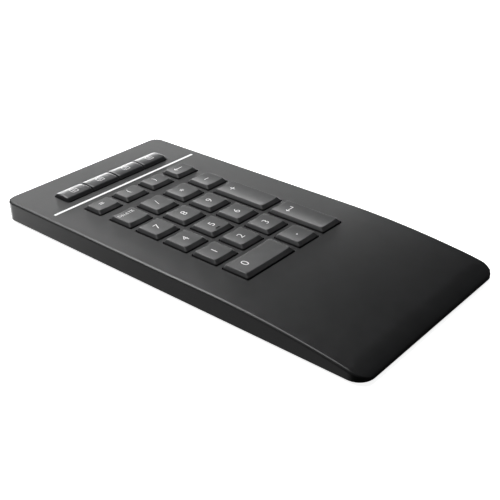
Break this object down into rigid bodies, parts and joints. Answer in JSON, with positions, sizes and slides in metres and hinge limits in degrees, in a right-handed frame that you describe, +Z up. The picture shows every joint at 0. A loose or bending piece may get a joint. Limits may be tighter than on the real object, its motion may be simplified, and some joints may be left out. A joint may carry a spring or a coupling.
{
  "type": "numeric keypad",
  "caption": "Slim black desktop numeric keypad with a curved palm rest, a row of bar-shaped function keys above a white strip, and a full block of low keys.",
  "frame": {"origin": "middle of the keypad's footprint, on the surface that its feet stand on", "axes": "+Z up, +Y towards the back edge (away from the user), +X to the user's right"},
  "size_m": [0.1124, 0.2278, 0.0144],
  "materials": {
    "case": "fine moulded texture, satin black",
    "bottom": "fine moulded texture, black",
    "keycap": "satin dark grey with white legends",
    "function_keycap": "semi-gloss dark grey with white symbols",
    "strip": "plain white",
    "rubber_feet": "matt black",
    "frame": "plain dark grey",
    "silicone": "translucent milky silicone",
    "film": "clear polyester film with printed tracks",
    "steel": "zinc-plated sheet and wire",
    "screw_steel": "zinc-plated",
    "board": "green solder mask",
    "chip": "black moulding compound",
    "ceramic": "white ceramic",
    "connector": "natural nylon",
    "pouch": "satin laminated pouch",
    "tape": "adhesive pad",
    "lead": "red and black insulation",
    "knob": "dark grey"
  },
  "bodies": {
    "housing": {"top_case": "case", "bottom_case": "bottom", "accent_strip": "strip", "key_frame": "frame", "dome_sheet": "silicone", "membrane_top": "film", "membrane_spacer": "film", "membrane_bottom": "film", "back_plate": "steel", "case_screws": "screw_steel", "frame_screws": "screw_steel", "board_screws": "screw_steel", "circuit_board": "board", "controller_chip": "chip", "chip_antenna": "ceramic", "usb_port": "steel", "power_switch_body": "steel", "membrane_connector": "connector", "battery": "pouch", "battery_tape": "tape", "battery_plug": "connector", "battery_leads": "lead", "foot_back_left": "rubber_feet", "foot_back_right": "rubber_feet", "foot_front_left": "rubber_feet", "foot_front_right": "rubber_feet"},
    "power_knob": {"power_switch_knob": "knob"},
    "function_key_1": {"function_key_1": "function_keycap"},
    "function_key_2": {"function_key_2": "function_keycap"},
    "function_key_3": {"function_key_3": "function_keycap"},
    "function_key_4": {"function_key_4": "function_keycap"},
    "key_equals": {"key_equals": "keycap"},
    "key_paren_open": {"key_paren_open": "keycap"},
    "key_paren_close": {"key_paren_close": "keycap"},
    "key_backspace": {"key_backspace": "keycap"},
    "key_delete": {"key_delete": "keycap"},
    "key_divide": {"key_divide": "keycap"},
    "key_multiply": {"key_multiply": "keycap"},
    "key_minus": {"key_minus": "keycap"},
    "key_7": {"key_7": "keycap"},
    "key_8": {"key_8": "keycap"},
    "key_9": {"key_9": "keycap"},
    "key_plus": {"key_plus": "keycap"},
    "key_4": {"key_4": "keycap"},
    "key_5": {"key_5": "keycap"},
    "key_6": {"key_6": "keycap"},
    "key_1": {"key_1": "keycap"},
    "key_2": {"key_2": "keycap"},
    "key_3": {"key_3": "keycap"},
    "key_enter": {"key_enter": "keycap"},
    "key_0": {"key_0": "keycap"},
    "key_decimal": {"key_decimal": "keycap"},
    "stabiliser_plus": {"stabiliser_plus": "steel"},
    "stabiliser_enter": {"stabiliser_enter": "steel"},
    "stabiliser_0": {"stabiliser_0": "steel"}
  },
  "joints": [
    {"name": "power_slide", "type": "slide", "parent": "housing", "child": "power_knob", "axis": [1, 0, 0], "range_m": [0, 0.002]},
    {"name": "function_key_1_press", "type": "slide", "parent": "housing", "child": "function_key_1", "axis": [0, 0, -1], "range_m": [0, 0.0016], "stiffness_N_per_m": 250, "springref_m": -0.001, "deforming": ["dome_sheet"]},
    {"name": "function_key_2_press", "type": "slide", "parent": "housing", "child": "function_key_2", "axis": [0, 0, -1], "range_m": [0, 0.0016], "stiffness_N_per_m": 250, "springref_m": -0.001, "deforming": ["dome_sheet"]},
    {"name": "function_key_3_press", "type": "slide", "parent": "housing", "child": "function_key_3", "axis": [0, 0, -1], "range_m": [0, 0.0016], "stiffness_N_per_m": 250, "springref_m": -0.001, "deforming": ["dome_sheet"]},
    {"name": "function_key_4_press", "type": "slide", "parent": "housing", "child": "function_key_4", "axis": [0, 0, -1], "range_m": [0, 0.0016], "stiffness_N_per_m": 250, "springref_m": -0.001, "deforming": ["dome_sheet"]},
    {"name": "key_equals_press", "type": "slide", "parent": "housing", "child": "key_equals", "axis": [0, 0, -1], "range_m": [0, 0.002], "stiffness_N_per_m": 250, "springref_m": -0.001, "deforming": ["dome_sheet"]},
    {"name": "key_paren_open_press", "type": "slide", "parent": "housing", "child": "key_paren_open", "axis": [0, 0, -1], "range_m": [0, 0.002], "stiffness_N_per_m": 250, "springref_m": -0.001, "deforming": ["dome_sheet"]},
    {"name": "key_paren_close_press", "type": "slide", "parent": "housing", "child": "key_paren_close", "axis": [0, 0, -1], "range_m": [0, 0.002], "stiffness_N_per_m": 250, "springref_m": -0.001, "deforming": ["dome_sheet"]},
    {"name": "key_backspace_press", "type": "slide", "parent": "housing", "child": "key_backspace", "axis": [0, 0, -1], "range_m": [0, 0.002], "stiffness_N_per_m": 250, "springref_m": -0.001, "deforming": ["dome_sheet"]},
    {"name": "key_delete_press", "type": "slide", "parent": "housing", "child": "key_delete", "axis": [0, 0, -1], "range_m": [0, 0.002], "stiffness_N_per_m": 250, "springref_m": -0.001, "deforming": ["dome_sheet"]},
    {"name": "key_divide_press", "type": "slide", "parent": "housing", "child": "key_divide", "axis": [0, 0, -1], "range_m": [0, 0.002], "stiffness_N_per_m": 250, "springref_m": -0.001, "deforming": ["dome_sheet"]},
    {"name": "key_multiply_press", "type": "slide", "parent": "housing", "child": "key_multiply", "axis": [0, 0, -1], "range_m": [0, 0.002], "stiffness_N_per_m": 250, "springref_m": -0.001, "deforming": ["dome_sheet"]},
    {"name": "key_minus_press", "type": "slide", "parent": "housing", "child": "key_minus", "axis": [0, 0, -1], "range_m": [0, 0.002], "stiffness_N_per_m": 250, "springref_m": -0.001, "deforming": ["dome_sheet"]},
    {"name": "key_7_press", "type": "slide", "parent": "housing", "child": "key_7", "axis": [0, 0, -1], "range_m": [0, 0.002], "stiffness_N_per_m": 250, "springref_m": -0.001, "deforming": ["dome_sheet"]},
    {"name": "key_8_press", "type": "slide", "parent": "housing", "child": "key_8", "axis": [0, 0, -1], "range_m": [0, 0.002], "stiffness_N_per_m": 250, "springref_m": -0.001, "deforming": ["dome_sheet"]},
    {"name": "key_9_press", "type": "slide", "parent": "housing", "child": "key_9", "axis": [0, 0, -1], "range_m": [0, 0.002], "stiffness_N_per_m": 250, "springref_m": -0.001, "deforming": ["dome_sheet"]},
    {"name": "key_plus_press", "type": "slide", "parent": "housing", "child": "key_plus", "axis": [0, 0, -1], "range_m": [0, 0.002], "stiffness_N_per_m": 250, "springref_m": -0.001, "deforming": ["dome_sheet"]},
    {"name": "key_4_press", "type": "slide", "parent": "housing", "child": "key_4", "axis": [0, 0, -1], "range_m": [0, 0.002], "stiffness_N_per_m": 250, "springref_m": -0.001, "deforming": ["dome_sheet"]},
    {"name": "key_5_press", "type": "slide", "parent": "housing", "child": "key_5", "axis": [0, 0, -1], "range_m": [0, 0.002], "stiffness_N_per_m": 250, "springref_m": -0.001, "deforming": ["dome_sheet"]},
    {"name": "key_6_press", "type": "slide", "parent": "housing", "child": "key_6", "axis": [0, 0, -1], "range_m": [0, 0.002], "stiffness_N_per_m": 250, "springref_m": -0.001, "deforming": ["dome_sheet"]},
    {"name": "key_1_press", "type": "slide", "parent": "housing", "child": "key_1", "axis": [0, 0, -1], "range_m": [0, 0.002], "stiffness_N_per_m": 250, "springref_m": -0.001, "deforming": ["dome_sheet"]},
    {"name": "key_2_press", "type": "slide", "parent": "housing", "child": "key_2", "axis": [0, 0, -1], "range_m": [0, 0.002], "stiffness_N_per_m": 250, "springref_m": -0.001, "deforming": ["dome_sheet"]},
    {"name": "key_3_press", "type": "slide", "parent": "housing", "child": "key_3", "axis": [0, 0, -1], "range_m": [0, 0.002], "stiffness_N_per_m": 250, "springref_m": -0.001, "deforming": ["dome_sheet"]},
    {"name": "key_enter_press", "type": "slide", "parent": "housing", "child": "key_enter", "axis": [0, 0, -1], "range_m": [0, 0.002], "stiffness_N_per_m": 250, "springref_m": -0.001, "deforming": ["dome_sheet"]},
    {"name": "key_0_press", "type": "slide", "parent": "housing", "child": "key_0", "axis": [0, 0, -1], "range_m": [0, 0.002], "stiffness_N_per_m": 250, "springref_m": -0.001, "deforming": ["dome_sheet"]},
    {"name": "key_decimal_press", "type": "slide", "parent": "housing", "child": "key_decimal", "axis": [0, 0, -1], "range_m": [0, 0.002], "stiffness_N_per_m": 250, "springref_m": -0.001, "deforming": ["dome_sheet"]},
    {"name": "stabiliser_plus_turn", "type": "hinge", "parent": "housing", "child": "stabiliser_plus", "pos_m": [0.0241, 0.0169, 0.0093], "axis": [0, 1, 0], "range_deg": [0, 19.5]},
    {"name": "stabiliser_enter_turn", "type": "hinge", "parent": "housing", "child": "stabiliser_enter", "pos_m": [0.0241, -0.0211, 0.0093], "axis": [0, 1, 0], "range_deg": [0, 19.5]},
    {"name": "stabiliser_0_turn", "type": "hinge", "parent": "housing", "child": "stabiliser_0", "pos_m": [-0.019, -0.035, 0.0093], "axis": [1, 0, 0], "range_deg": [-19.5, 0]}
  ],
  "couplings": [
    {"joint": "stabiliser_plus_turn", "follows": "key_plus_press", "rad_per_m": 169.92},
    {"joint": "stabiliser_enter_turn", "follows": "key_enter_press", "rad_per_m": 169.92},
    {"joint": "stabiliser_0_turn", "follows": "key_0_press", "rad_per_m": -169.92}
  ]
}
